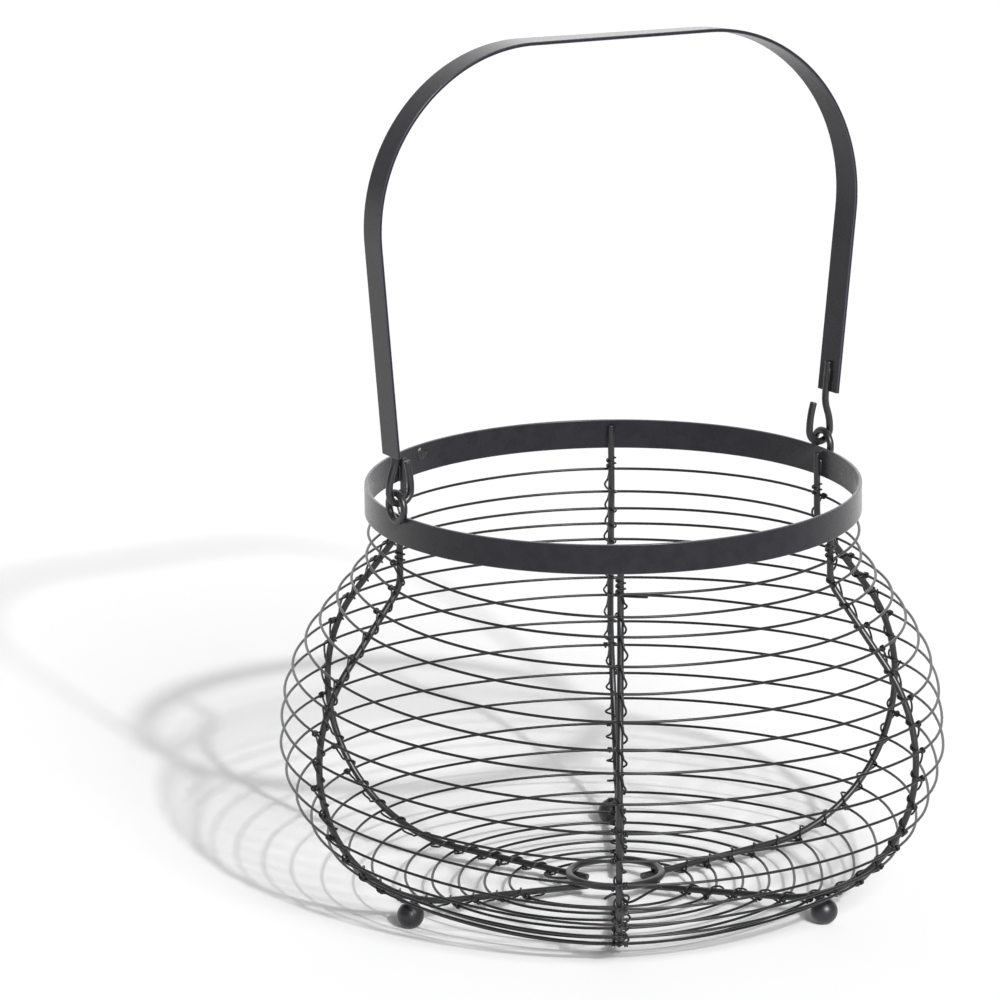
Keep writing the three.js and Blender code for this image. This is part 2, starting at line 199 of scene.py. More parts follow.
def powderCoat(name, look):
    # two blacks mixed by a broad noise, paler along edges as a painted highlight and partly a thinner coat
    # there, roughness from the same noise, a fine orange peel as bump, and a sheen for the dust on it
    material = bpy.data.materials.new(name)
    material.use_nodes = True
    nodes = material.node_tree.nodes
    links = material.node_tree.links
    shader = nodes["Principled BSDF"]
    place = nodes.new("ShaderNodeTexCoord")

    mottle = nodes.new("ShaderNodeTexNoise")
    mottle.inputs["Scale"].default_value = grain["mottle"]
    mottle.inputs["Detail"].default_value = grain["mottleDetail"]
    links.new(place.outputs["Object"], mottle.inputs["Vector"])

    blacks = nodes.new("ShaderNodeValToRGB")
    for stop, value, at in zip(blacks.color_ramp.elements, look["black"], grain["blackStops"]):
        stop.position = at
        stop.color = (value, value, value * look["blue"], 1)
    links.new(mottle.outputs["Fac"], blacks.inputs["Fac"])

    edge = nodes.new("ShaderNodeAttribute")
    edge.attribute_name = "edgeLight"
    # painted edge highlight: the rounded edges mix towards a pale grey, partly for a thinner coat there
    thinCoatAndHighlightEdges = nodes.new("ShaderNodeMix")
    thinCoatAndHighlightEdges.data_type = "RGBA"
    links.new(edge.outputs["Fac"], thinCoatAndHighlightEdges.inputs[0])
    links.new(blacks.outputs["Color"], thinCoatAndHighlightEdges.inputs[6])
    pale = grain["edgePale"]
    thinCoatAndHighlightEdges.inputs[7].default_value = (pale, pale, pale * look["blue"], 1)
    links.new(thinCoatAndHighlightEdges.outputs[2], shader.inputs["Base Color"])

    gloss = nodes.new("ShaderNodeMapRange")
    gloss.inputs["To Min"].default_value = look["rough"][0]
    gloss.inputs["To Max"].default_value = look["rough"][1]
    links.new(mottle.outputs["Fac"], gloss.inputs["Value"])
    links.new(gloss.outputs["Result"], shader.inputs["Roughness"])

    peel = nodes.new("ShaderNodeTexNoise")
    peel.inputs["Scale"].default_value = grain["peel"]
    peel.inputs["Detail"].default_value = grain["peelDetail"]
    links.new(place.outputs["Object"], peel.inputs["Vector"])
    bump = nodes.new("ShaderNodeBump")
    bump.inputs["Strength"].default_value = grain["peelStrength"]
    bump.inputs["Distance"].default_value = grain["peelDepth"]
    links.new(peel.outputs["Fac"], bump.inputs["Height"])
    links.new(bump.outputs["Normal"], shader.inputs["Normal"])
    shader.inputs["Specular IOR Level"].default_value = look["shine"]
    shader.inputs["Sheen Weight"].default_value = look["dust"]
    shader.inputs["Sheen Roughness"].default_value = grain["dustSpread"]
    return material


stripCoat = powderCoat("stripCoat", coats["strip"])
wireCoat = powderCoat("wireCoat", coats["wire"])
thinWireCoat = powderCoat("thinWireCoat", coats["thinWire"])
ballCoat = powderCoat("ballCoat", coats["ball"])
print("coats: strip, wire, thin wire and ball")

# Rim band

rimBand = {"edge": 0.4, "steps": 300, "thickness": 1.5, "seamAngle": 109.7, "seamWidth": 3.6}
rimLow, rimHigh = nodeBox("rim_band")
rimTop = rimHigh[2]
rimRadius = rimHigh[0]
rimHeight = rimTop - rimLow[2]


def circlePath(radius, height, steps):
    # level circle: radius times cosine and sine, at one height
    angle = fullTurn * np.arange(steps) / steps
    return np.stack([radius * np.cos(angle), radius * np.sin(angle), np.full(steps, height)], 1)


def edgeGlow(section, thickness, width, corner, rows, within=0.999):
    # 1 on the corner arcs of a strip's section and 0 on its flats, repeated for each ring: where the painted
    # edge highlight goes
    u = np.abs(section[:, 0]) > thickness / 2 - corner * within
    v = np.abs(section[:, 1]) > width / 2 - corner * within
    return np.tile((u & v).astype(float), rows)


rimSection = stripSection(rimBand["thickness"], rimHeight, rimBand["edge"])
rimPath = circlePath(rimRadius - rimBand["thickness"] / 2, rimTop - rimHeight / 2, rimBand["steps"])
rimGlow = edgeGlow(rimSection, rimBand["thickness"], rimHeight, rimBand["edge"], rimBand["steps"])
addPiece("rimBand", sweep(rimPath, upright, rimSection, looped=True), stripCoat, "basket",
         ["rim_band"], rimGlow)
print("rim band: radius", round(float(rimRadius), 1), "top", round(float(rimTop), 1))

# Ribs

ribs = {
    "angles": np.radians([-2, 58.3, 119, 176.5, 238.4, 300]), "diameter": 2.8, "drop": 2.0, "seat": 0.3,
    "neckLength": 25.2, "neckBend": 14.5, "neckSlope": 38, "bellyRadius": 140.0, "bellyBend": 66.3,
    "baseSlope": 3.7, "baseHole": 13.0, "sides": 24, "spacing": 1.5, "rounding": 0.25,
    "sway": [0.3, -0.2, 0.4, -0.4, 1.0, -0.3],  # bent to one side at both ends, and the other half way
    "lean": [0.0, -3.0, 0.0, 0.0, 0.0, 0.0],  # to one side, most at the heel
    "leanAt": [0.0, 0.40, 0.54, 0.70, 1.0], "leanShare": [0.25, 0.35, 0.78, 1.0, 0.5],  # along the rib
    "sagRib": 4, "sagDrop": 3.0, "sagFrom": 125.0, "sagFull": 165.0, "sagPast": 195.0, "sagTo": 240.0,
}
ribCount = len(ribs["angles"])
ribRadius = ribs["diameter"] / 2


def ribTable(steps=6000):
    # direction from straight down turns evenly along each arc; radius and height are running sums of
    # its sine and cosine
    slope, heel = np.radians([ribs["neckSlope"], 90 - ribs["baseSlope"]])
    neckRadius = rimRadius - rimBand["thickness"] - ribs["seat"] - ribRadius
    bends = ribs["neckBend"] + ribs["bellyBend"]
    slopeRun = (ribs["bellyRadius"] - neckRadius - bends * (1 - np.cos(slope))) / np.sin(slope)
    heelRadius = ribs["bellyRadius"] - ribs["bellyBend"] * (1 - np.cos(heel))
    runs = [ribs["neckLength"], ribs["neckBend"] * slope, slopeRun, ribs["bellyBend"] * (slope + heel),
            (heelRadius - ribs["baseHole"]) / np.sin(heel)]
    knots = np.concatenate([[0], np.cumsum(runs)])
    distance = np.linspace(0, knots[-1], steps + 1)
    direction = np.interp(distance, knots, [0, 0, slope, slope, -heel, -heel])
    step = distance[1]
    middle = (direction[1:] + direction[:-1]) / 2
    radius = neckRadius + step * np.concatenate([[0], np.cumsum(np.sin(middle))])
    height = rimTop - ribs["drop"] - step * np.concatenate([[0], np.cumsum(np.cos(middle))])
    return distance, radius, height, direction


ribDistance, ribReach, ribHeight, ribDirection = ribTable()
ribLength = ribDistance[-1]


def heelSag(distance, angle):
    # the heel between two feet hangs lower: the square of a cosine round the basket, times a rise and
    # a fall along the rib
    aside = np.mod(angle - ribs["angles"][ribs["sagRib"]] + np.pi, fullTurn) - np.pi
    spread = np.cos(np.clip(aside * ribCount / 4, -np.pi / 2, np.pi / 2)) ** 2
    rise = smoothStep((distance - ribs["sagFrom"]) / (ribs["sagFull"] - ribs["sagFrom"]))
    fall = smoothStep((ribs["sagTo"] - distance) / (ribs["sagTo"] - ribs["sagPast"]))
    return ribs["sagDrop"] * spread * rise * fall


def onRib(distance, angle, out=0.0, aside=0.0):
    # point beside a rib: its radius and height moved outwards square to it, turned to the angle, and
    # moved aside round the basket
    direction = np.interp(distance, ribDistance, ribDirection)
    radius = np.interp(distance, ribDistance, ribReach) + out * np.cos(direction)
    height = np.interp(distance, ribDistance, ribHeight) + out * np.sin(direction) - heelSag(distance, angle)
    x = radius * np.cos(angle) - aside * np.sin(angle)
    y = radius * np.sin(angle) + aside * np.cos(angle)
    return np.stack(np.broadcast_arrays(x, y, height), -1)


def outOfRib(distance, angle):
    # direction out of the basket, square to the rib
    direction = np.interp(distance, ribDistance, ribDirection)
    return np.stack(np.broadcast_arrays(
        np.cos(direction) * np.cos(angle), np.cos(direction) * np.sin(angle), np.sin(direction)), -1)


def roundBasket(angle):
    # level direction round the basket at an angle
    return np.stack(np.broadcast_arrays(-np.sin(angle), np.cos(angle), 0.0 * angle), -1)


def ribSway(rib, distance):
    # one wave of a cosine along the rib, times its own sway, and a lean that grows to the heel
    share = distance / ribLength
    lean = ribs["lean"][rib] * np.interp(share, ribs["leanAt"], ribs["leanShare"])
    return ribs["sway"][rib] * np.cos(fullTurn * share) + lean


ribStations = np.linspace(0, ribLength, int(ribLength / ribs["spacing"]))
for i, angle in enumerate(ribs["angles"]):
    path = onRib(ribStations, angle, 0.0, ribSway(i, ribStations))
    shape = cutWire(path, roundBasket(angle), ribs["diameter"], ribs["sides"], ribs["rounding"])
    addPiece(f"rib{i + 1}", shape, wireCoat, "basket", [f"rib_{i + 1}"])
print("ribs:", ribCount, "of length", round(float(ribLength), 1))

# Hoop wire

hoop = {
    "diameter": 1.15, "gap": 8.6, "pitch": 11.3, "ringClear": 14.0, "sag": 1.4, "startRib": 4, "endBays": 4,
    "stepBefore": 84, "stepAfter": 8, "footGap": 14.4, "footTurn": 15, "sides": 10, "perTurn": 120,
    "slack": 0.45, "lengths": 7, "spareBays": 4, "tilt": (0.01, 0.02, 0.0),
    "foldLength": 12.0, "foldDrop": 1.5, "foldWrap": -215,  # the upper end, folded back behind its rib
    "foldLead": (-0.82, 0.57), "foldBend": (-0.1, 1.9), "foldStub": 0.55,  # out and aside, times hoopOut
    "tailTurn": 48, "tailClear": 4.5, "tailLift": 1.2,  # the inner end, drawn in to the base ring
    "baySag": [0.0, 0.0, 0.0, 0.0, 0.0, 2.6],  # drawn in further, in the bay past each rib
    "sagFrom": 45.0, "sagFull": 95.0,  # the upper turns run round without a sag
    "drift": 0.6, "backRib": 1, "backDrop": 0.9,  # wound by hand: up or down a little at every rib
    "frontDrift": [0.0, -1.0, -3.0, -1.3, -0.6, 0.0, 0.2, -2.1, -1.2],  # at the first rib, turn by turn
    "backFrom": 6, "backDrift": [2.4, 0.0, 1.1, 0.2, 0.9, 0.4, 0.2, 1.1, 1.8, 1.5, 1.2],  # at the back rib
}
hoopRadius = hoop["diameter"] / 2
hoopOut = ribRadius + hoopRadius
hoopStart = rimHeight - ribs["drop"] + hoop["gap"]
widening = hoop["footGap"] - hoop["pitch"]
fullTurns = int((ribLength - hoop["ringClear"] - hoopStart - widening) // hoop["pitch"])


def ribAngle(number):
    # angle of a rib counted on over whole turns
    return ribs["angles"][np.mod(number, ribCount)] + np.floor_divide(number, ribCount) * fullTurn


def turnDistance(number):
    # distance down the ribs of a turn: one pitch each, and wider past the turn above the feet
    passed = np.maximum(number, 0)
    return hoopStart + passed * hoop["pitch"] + (passed > hoop["footTurn"]) * widening


endRib = hoop["startRib"] + fullTurns * ribCount + hoop["endBays"]
startAngle = ribAngle(hoop["startRib"])
endAngle = ribAngle(endRib)
stepEnd = startAngle + np.radians(hoop["stepAfter"])
stepShare = (hoop["stepBefore"] + hoop["stepAfter"]) / 360

hoopBays = np.arange(hoop["startRib"] - 1, endRib + hoop["spareBays"])
hoopDrift = handmade.uniform(-1, 1, len(hoopBays)) * hoop["drift"]
hoopDrift[hoopBays % ribCount == hoop["backRib"]] += hoop["backDrop"]
frontBays = hoop["startRib"] - hoopBays[0] + ribCount * np.arange(len(hoop["frontDrift"]))
hoopDrift[frontBays] = hoop["frontDrift"]
backTurns = hoop["backFrom"] + np.arange(len(hoop["backDrift"]))
backBays = (hoop["backRib"] - hoopBays[0]) % ribCount + ribCount * backTurns
hoopDrift[backBays] = hoop["backDrift"]


def hoopPlace(angle, hair=1e-9):
    # rib number at an angle, counted on over whole turns, and the share of the bay past it
    place = np.interp(angle, ribAngle(hoopBays), hoopBays)
    number = np.floor(place + hair).astype(int)
    return number, place - number


def hoopDistance(angle):
    # level over most of a turn, then a smooth step down to the next turn, with the drift of the two
    # ribs on either side eased from one to the other
    turns = (angle - stepEnd) / fullTurn
    whole = np.floor(turns)
    step = smoothStep((turns - whole - 1 + stepShare) / stepShare)
    number, share = hoopPlace(angle)
    k = number - hoopBays[0]
    drift = hoopDrift[k] + (hoopDrift[k + 1] - hoopDrift[k]) * smoothStep(share)
    return turnDistance(whole) * (1 - step) + turnDistance(whole + 1) * step + drift


def hoopLine(angle):
    # rib's place moved out onto the ribs, drawn in between two ribs by the square of a sine, with a
    # small sag of its own in every bay
    number, share = hoopPlace(angle)
    bow = np.sin(np.pi * share) ** 2
    slack = handmade.uniform(-1, 1, (2, len(hoopBays)))[:, number - hoopBays[0]]
    distance = hoopDistance(angle) + bow * hoop["slack"] * slack[0]
    points = onRib(distance, angle, hoopOut)
    sag = hoop["sag"] + np.array(hoop["baySag"])[number % ribCount]
    sag = sag * smoothStep((distance - hoop["sagFrom"]) / (hoop["sagFull"] - hoop["sagFrom"]))
    inwards = (sag + hoop["slack"] * slack[1]) / ribs["bellyRadius"] * bow
    points[:, :2] *= 1 - inwards[:, None]
    return points


def hoopFold(steps=60):
    # upper end: from a stub beside the wire, behind the rib, round its left and out over its front
    wrap = np.radians(np.linspace(hoop["foldWrap"], 0, steps))
    drop = hoop["foldDrop"] * smoothStep(-wrap / np.pi)
    loop = onRib(hoopStart + drop, startAngle, hoopOut * np.cos(wrap), hoopOut * np.sin(wrap))
    t = np.linspace(0, 1, steps)[:-1, None]
    lead = hoopOut * np.array(hoop["foldLead"])
    stub = np.array([hoopOut * hoop["foldStub"], hoop["foldLength"]])
    bend = hoopOut * np.array(hoop["foldBend"])
    curve = (1 - t) ** 2 * stub + 2 * t * (1 - t) * bend + t ** 2 * lead
    free = onRib(hoopStart + hoop["foldDrop"], startAngle, curve[:, 0], curve[:, 1])
    return np.vstack([free, loop])


def hoopTail(steps=40):
    # inner end: past its last rib the wire runs on, drawing in to the ring and climbing onto it
    share = np.linspace(0, 1, steps)[1:]
    angle = endAngle + share * np.radians(hoop["tailTurn"])
    ease = smoothStep(share)
    last = hoopDistance(endAngle)
    distance = last + ease * (ribLength - last - hoop["tailClear"])
    return onRib(distance, angle, hoopOut * (1 - ease) - ease * (ribRadius + hoop["tailLift"]))


hoopTurns = np.linspace(startAngle, endAngle, int((endAngle - startAngle) / fullTurn * hoop["perTurn"]))[1:]
hoopPath = np.vstack([hoopFold(), hoopLine(hoopTurns), hoopTail()])
hoopSide = upright + hoop["tilt"]
hoopNodes = [f"hoop_wire_{i + 1}" for i in range(hoop["lengths"])]
hoopShape = cutWire(hoopPath, hoopSide, hoop["diameter"], hoop["sides"])
addPiece("hoopWire", hoopShape, thinWireCoat, "basket", hoopNodes)
print("hoop wire:", round((endAngle - startAngle) / fullTurn, 2), "turns")

# End of one length of hoop wire, bent off its turn and hooked round the front rib from behind

hoopEnd = {
    "turn": 11, "steps": 16,
    "aside": [16.0, 13.0, 8.0, 3.2, 1.9, 0.0, -2.0, -4.2, -7.2],  # right of the rib
    "fall": [0.02, 0.08, 0.40, 0.80, 0.86, 0.76, 0.60, 0.52, 0.70],  # of the way to the next turn
    "out": [3.1, 3.1, 2.8, 1.2, -0.6, -2.0, -1.6, -0.4, 0.2],  # outwards from the rib's middle
}


def smoothRow(values, steps):
    # row of values eased through by averaging a finely divided row with itself twice
    last = len(values) - 1
    fine = np.interp(np.linspace(0, last, last * steps), np.arange(last + 1), values)
    blur = np.ones(steps) / steps
    padded = np.pad(fine, steps, mode="reflect", reflect_type="odd")
    return np.convolve(np.convolve(padded, blur, "same"), blur, "same")[steps:-steps]


endRow = {key: smoothRow(hoopEnd[key], hoopEnd["steps"]) for key in ("aside", "fall", "out")}
endTop, endNext = hoopDistance(startAngle + fullTurn * np.arange(hoopEnd["turn"], hoopEnd["turn"] + 2))
endPath = onRib(endTop + endRow["fall"] * (endNext - endTop), startAngle, endRow["out"], endRow["aside"])
endShape = cutWire(endPath, hoopSide, hoop["diameter"], hoop["sides"])
addPiece("hoopEnd", endShape, thinWireCoat, "basket")
print("hoop end: hooked behind rib", hoop["startRib"] + 1)

# Tie wires

ties = {
    "diameter": 0.9, "sides": 8, "perTurn": 60, "gap": 2.8, "leadTurns": 2.4, "loop": 1.1, "blur": 5,
    "baseCurl": 1.4, "curlFrom": 120.0, "curlFull": 175.0,  # the loops grow by this share along the base
    "share": [0.00, 0.12, 0.26, 0.33, 0.39, 0.45, 0.51, 0.58, 0.74, 0.88, 1.00],  # of one turn
    "wrap": [0, 20, 42, 66, 84, 96, 112, 140, 190, 285, 360],  # degrees round the rib, from outside
    "fall": [0.00, 0.16, 0.38, 0.45, 0.51, 0.58, 0.65, 0.70, 0.80, 0.93, 1.00],  # towards the next hoop
    "over": [1.0, 0.7, 0.2, 0.0, 0.0, 0.0, 0.0, 0.0, 0.0, 0.3, 1.0],  # off the rib, in hoop wire widths
    "slack": [0.0, 0.0, 0.0, 0.35, 0.85, 1.0, 0.65, 0.15, 0.0, 0.0, 0.0],  # of the open loop
    "looseness": (0.45, 1.15),  # of each open loop, drawn evenly between these
    "leadSlack": 0.15, "leadOver": 0.15, "leadEnd": -0.3, "tailTurns": 1.45,  # lead and end of the winding
    "knotTurns": 1.6, "knotPitch": 0.95, "knotFrom": 1.7, "knotTight": 0.9,  # round the hoop wire
    "knotSteps": 20, "knotSides": 6, "probe": 0.5,  # probe: to either side, for the rib's direction
    "plainRibs": (1, 4),  # back and front: knots only along the base
}
tieRadius = ties["diameter"] / 2


def crossings(rib, hair=1e-6):
    # distances at which the hoop wire passes a rib
    first = startAngle + np.mod(ribAngle(rib) - startAngle, fullTurn)
    passes = first + fullTurn * np.arange(fullTurns + 2)
    return hoopDistance(passes[passes < endAngle + hair])


def tieLine(rib):
    # turns counted from the first hoop: shares of a turn are looked up in the tie's own course, and
    # the result is smoothed along the wire
    hoops = crossings(rib)
    hoops = np.append(hoops, 2 * hoops[-1] - hoops[-2])
    turns = np.arange(-ties["leadTurns"], len(hoops) - ties["tailTurns"], 1 / ties["perTurn"])
    whole = np.floor(turns).astype(int)
    share = turns - whole
    k = np.maximum(whole, 0)
    above = np.interp(share, ties["share"], ties["fall"])
    lead = (hoop["gap"] - ties["gap"]) / ties["leadTurns"]
    distance = np.where(turns < 0, hoops[0] + turns * lead, hoops[k] + above * (hoops[k + 1] - hoops[k]))
    wrap = np.radians(np.where(turns < 0, share * 360, np.interp(share, ties["share"], ties["wrap"])))
    curl = smoothStep((distance - ties["curlFrom"]) / (ties["curlFull"] - ties["curlFrom"]))
    loose = handmade.uniform(*ties["looseness"], len(hoops))
    proud = ties["loop"] * (1 + ties["baseCurl"] * curl) * loose[k]
    slack = np.interp(share, ties["share"], ties["slack"]) * np.where(turns < 0, ties["leadSlack"], proud)
    lift = np.where(turns < ties["leadEnd"], ties["leadOver"], hoop["diameter"])
    over = np.interp(share, ties["share"], ties["over"]) * lift
    reach = ribRadius + tieRadius + slack + over
    aside = reach * np.sin(wrap) + ribSway(rib, distance)
    points = onRib(distance, ribs["angles"][rib], reach * np.cos(wrap), aside)
    blur = np.ones(ties["blur"]) / ties["blur"]
    return np.stack([np.convolve(points[:, axis], blur, "valid") for axis in range(3)], 1), distance


def tieKnots(rib):
    # at each crossing a short helix round the hoop wire beside the rib: cosine out, sine down the rib
    # and a steady pitch away from the rib, on either hand
    spin = np.linspace(0, ties["knotTurns"] * fullTurn, ties["knotSteps"])
    reach = hoopRadius + tieRadius * ties["knotTight"]
    ribTurn = ribs["angles"][rib]
    knots = []
    hoops = crossings(rib)
    if rib in ties["plainRibs"]:
        hoops = hoops[hoops > ties["curlFrom"]]
    for distance in hoops:
        hand = handmade.choice([-1, 1])
        phase = spin + handmade.uniform(0, fullTurn)
        aside = hand * (ties["knotFrom"] + ties["knotPitch"] * spin / fullTurn) + ribSway(rib, distance)
        points = onRib(distance + reach * np.sin(phase), ribTurn, hoopOut + reach * np.cos(phase), aside)
        knots.append(cutWire(points, roundBasket(ribTurn), ties["diameter"], ties["knotSides"]))
    return knots


for i, angle in enumerate(ribs["angles"]):
    path, distance = tieLine(i)
    ahead = onRib(distance + ties["probe"], angle)
    side = unit(ahead - onRib(distance - ties["probe"], angle))[:len(path)]
    tie = joinShapes([cutWire(path, side, ties["diameter"], ties["sides"]), *tieKnots(i)])
    addPiece(f"tieWire{i + 1}", tie, thinWireCoat, "basket", [f"tie_wire_{i + 1}"])
print("tie wires:", ribCount)

# Base ring

baseRing = {"steps": 140, "sides": 22, "wire": 3.2}
ringLow, ringHigh = nodeBox("base_ring")
ringLine = ringHigh[0] - baseRing["wire"] / 2
ringHeight = (ringLow[2] + ringHigh[2]) / 2
ringPath = circlePath(ringLine, ringHeight, baseRing["steps"])
ringShape = sweep(ringPath, upright, roundSection(baseRing["wire"] / 2, baseRing["sides"]), looped=True)
addPiece("baseRing", ringShape, wireCoat, "basket", ["base_ring"])
print("base ring: radius", round(float(ringLine), 1))

# Ball feet

ballFeet = {"count": 3, "flat": 3.0, "rings": 40, "sides": 56, "pole": 0.2}
footNodes = [f"foot_{i + 1}" for i in range(ballFeet["count"])]


def ballShape(centre, radius):
    # turned ball: an arc from the edge of the flat to the top, carried round the upright axis
    low = -np.arccos(ballFeet["flat"] / 2 / radius)
    high = np.arccos(ballFeet["pole"] / radius)
    arc = np.linspace(low, high, ballFeet["rings"])
    path = np.outer(np.sin(arc) * radius, upright) + centre
    level = roundSection(1.0, ballFeet["sides"])
    return sweep(path, np.array([0.0, 1.0, 0.0]), level, grow=radius * np.cos(arc))


footCentres = []
for node in footNodes:
    low, high = nodeBox(node)
    ballRadius = (high[0] - low[0] + high[1] - low[1]) / 4
    centre = np.array([(low[0] + high[0]) / 2, (low[1] + high[1]) / 2, high[2] - ballRadius])
    footCentres.append(centre)
    addPiece("ball" + node[-1], ballShape(centre, ballRadius), ballCoat, "basket", [node])
print("ball feet:", len(footCentres))

# Eyes on the rim

eyes = {"wire": 3.0, "steps": 90, "sides": 22}
eyeSide = np.array([1.0, 0.0, 0.0])
eyeCentres = {}
for name in ("right", "left"):
    low, high = nodeBox("eye_" + name)
    centre = (low + high) / 2
    eyeCentres[name] = centre
    eyeLine = (high[2] - low[2] - eyes["wire"]) / 2
    flat = circlePath(eyeLine, 0.0, eyes["steps"])
    path = centre + flat[:, [2, 0, 1]]
    shape = sweep(path, eyeSide, roundSection(eyes["wire"] / 2, eyes["sides"]), looped=True)
    addPiece("eye" + name.capitalize(), shape, wireCoat, "basket", ["eye_" + name])
print("eyes: right and left")

# Handle, drawn about its swing line

swing = frame["joints"][0]
swingPlace = np.array(swing["pos_m"]) / mm
swingX = unit(np.array(swing["axis"], float))
swingY = np.array([0.0, 1.0, 0.0])
swingZ = np.cross(swingX, swingY)

handleStrip = {
    "width": 12.5, "thickness": 1.5, "span": 233.6, "rise": 185.4, "end": 21.6, "slant": 3.3, "shift": -0.6,
    "corner": {1: 77.0, -1: 70.7}, "edge": 0.4, "steps": 60, "barSteps": 16,  # corners right and left
    "endRows": [0, 0.15, 0.4], "endShrink": 0.02,  # rings by the cut ends, and the last one's shrink
    "twist": 7.0, "longer": {1: 0.0, -1: 1.1},  # degrees at the right end, and the left arm's extra length
}
hooks = {
    "diameter": 3.0, "play": 0.5, "reach": 2.0, "jog": 3.5, "shank": 13.0, "tail": 17.5, "lean": 2.0,
    "seat": 0.3, "sink": 1.2, "sides": 20, "steps": 40,  # the shank sinks into its weld
    "shankSteps": 14, "tailSteps": 20, "rounding": 0.3,
}
hookRadius = hooks["diameter"] / 2
eyePlane = eyeCentres["right"][0]
outerLimb = eyePlane + eyes["wire"] / 2 + hooks["play"] + hookRadius
innerLimb = rimRadius - rimBand["thickness"] - hooks["reach"] - hookRadius
shankFoot = np.array([outerLimb - hooks["jog"], handleStrip["end"]])
armEnd = shankFoot + [handleStrip["thickness"] / 2 + hooks["seat"] + hookRadius, 0]


def handleArm(side):
    # corner of the arch drawn as if on the right, and the angle at which the arm is tangent to it
    radius = handleStrip["corner"][side]
    corner = np.array([handleStrip["span"] / 2 + side * handleStrip["shift"],
                       handleStrip["rise"] - side * handleStrip["slant"] / 2]) - radius
    fromCorner = armEnd - corner
    angle = np.arctan2(fromCorner[1], fromCorner[0]) + np.arccos(radius / np.hypot(*fromCorner))
    return corner, angle


arms = {side: handleArm(side) for side in (1, -1)}
barReach = arms[1][0] - arms[-1][0] * [-1, 1]
barTurn = np.arcsin((handleStrip["corner"][-1] - handleStrip["corner"][1]) / np.hypot(*barReach))
barAngle = np.pi / 2 + np.arctan2(barReach[1], barReach[0]) - barTurn


def onHandle(drawn, aside=0.0):
    # drawing of X across and Z up placed about the swing line, leaning as its axis does
    drawn = np.atleast_2d(drawn)
    return swingPlace + drawn[:, :1] * swingX + aside * swingY + drawn[:, 1:] * swingZ


def arcLine(centre, radius, start, end, steps):
    # centre plus radius times cosine and sine of evenly spaced angles
    angle = np.linspace(start, end, steps)
    return centre + radius * np.stack([np.cos(angle), np.sin(angle)], 1)


def straight(start, end, steps):
    # evenly spaced points from one end to the other
    return np.linspace(start, end, steps)


def bezier(points, steps):
    # cubic curve: powers of the share left and the share gone weigh four points by 1, 3, 3 and 1
    t = np.linspace(0, 1, steps)[:, None]
    a, b, c, d = [np.asarray(point, float) for point in points]
    return (1 - t) ** 3 * a + 3 * t * (1 - t) ** 2 * b + 3 * t ** 2 * (1 - t) * c + t ** 3 * d


def archHalf(side):
    # arm as the tangent to the corner, then the corner's arc up to the slanting bar
    corner, angle = arms[side]
    top = np.pi / 2 + side * (barAngle - np.pi / 2)
    arc = arcLine(corner, handleStrip["corner"][side], angle, top, handleStrip["steps"])
    end = armEnd - unit(arc[0] - armEnd) * handleStrip["longer"][side]
    arm = straight(end, arc[0], handleStrip["steps"])[:-1]
    ends = arm[0] + np.outer(handleStrip["endRows"], unit(arm[1] - arm[0]))
    return np.vstack([ends, arm[1:], arc]) * [side, 1]


def archLine():
    # right half, the bar between the two corners, and the left half from its corner down
    right = archHalf(1)
    left = archHalf(-1)[::-1]
    return np.vstack([right, straight(right[-1], left[0], handleStrip["barSteps"])[1:-1], left])


archPath = archLine()
stripSect = stripSection(handleStrip["thickness"], handleStrip["width"], handleStrip["edge"])
stripGrow = np.ones(len(archPath))
stripGrow[[0, -1]] = 1 - handleStrip["endShrink"]
stripGlow = edgeGlow(stripSect, handleStrip["thickness"], handleStrip["width"], handleStrip["edge"],
                     len(archPath))


def stripSide(path, drawn):
    # width of the strip: across the handle, turned about the path by a twist that eases in to the right
    twist = np.radians(handleStrip["twist"]) * smoothStep(drawn[:, 0] / handleStrip["span"] + 0.5)[:, None]
    return np.cos(twist) * swingY - np.sin(twist) * np.cross(swingY, unit(np.gradient(path, axis=0)))


stripPath = onHandle(archPath)
stripShape = sweep(stripPath, stripSide(stripPath, archPath), stripSect, grow=stripGrow)
addPiece("handleStrip", stripShape, stripCoat, "handle", ["handle_strip"], stripGlow)


def armUp(side):
    # direction up an arm, drawn as if on the right
    angle = arms[side][1]
    return np.array([-np.sin(angle), np.cos(angle)])


def hookLine(side):
    # shank along the strip, a jog out to the outer limb, half a turn through the eye and up to the tip
    bend = (outerLimb - innerLimb) / 2
    up = armUp(side)
    foot = shankFoot + [hooks["sink"], 0]
    ease = foot - up * (handleStrip["end"] - bend) / 2
    middle = np.array([outerLimb, (handleStrip["end"] + bend) / 2])
    shank = straight(foot + up * hooks["shank"], foot, hooks["shankSteps"])
    jog = bezier([foot, ease, middle, [outerLimb, bend]], hooks["steps"])
    under = arcLine(np.array([outerLimb - bend, bend]), bend, 0, -np.pi, hooks["steps"])
    knee = np.array([innerLimb, (hooks["tail"] + bend) / 2])
    tip = np.array([innerLimb + hooks["lean"], hooks["tail"]])
    limb = bezier([under[-1], (under[-1] + 2 * knee) / 3, (tip + 2 * knee) / 3, tip], hooks["tailSteps"])
    return np.vstack([shank[:-1], jog[:-1], under[:-1], limb]) * [side, 1]


for name, side in (("right", 1), ("left", -1)):
    shape = cutWire(onHandle(hookLine(side)), swingY, hooks["diameter"], hooks["sides"], hooks["rounding"])
    addPiece("hook" + name.capitalize(), shape, wireCoat, "handle", ["hook_" + name])
handleLean = float(np.degrees(np.arcsin(-swingX[2])))
print("handle: strip and two hooks, leaning", round(handleLean, 2), "degrees")

# Welds

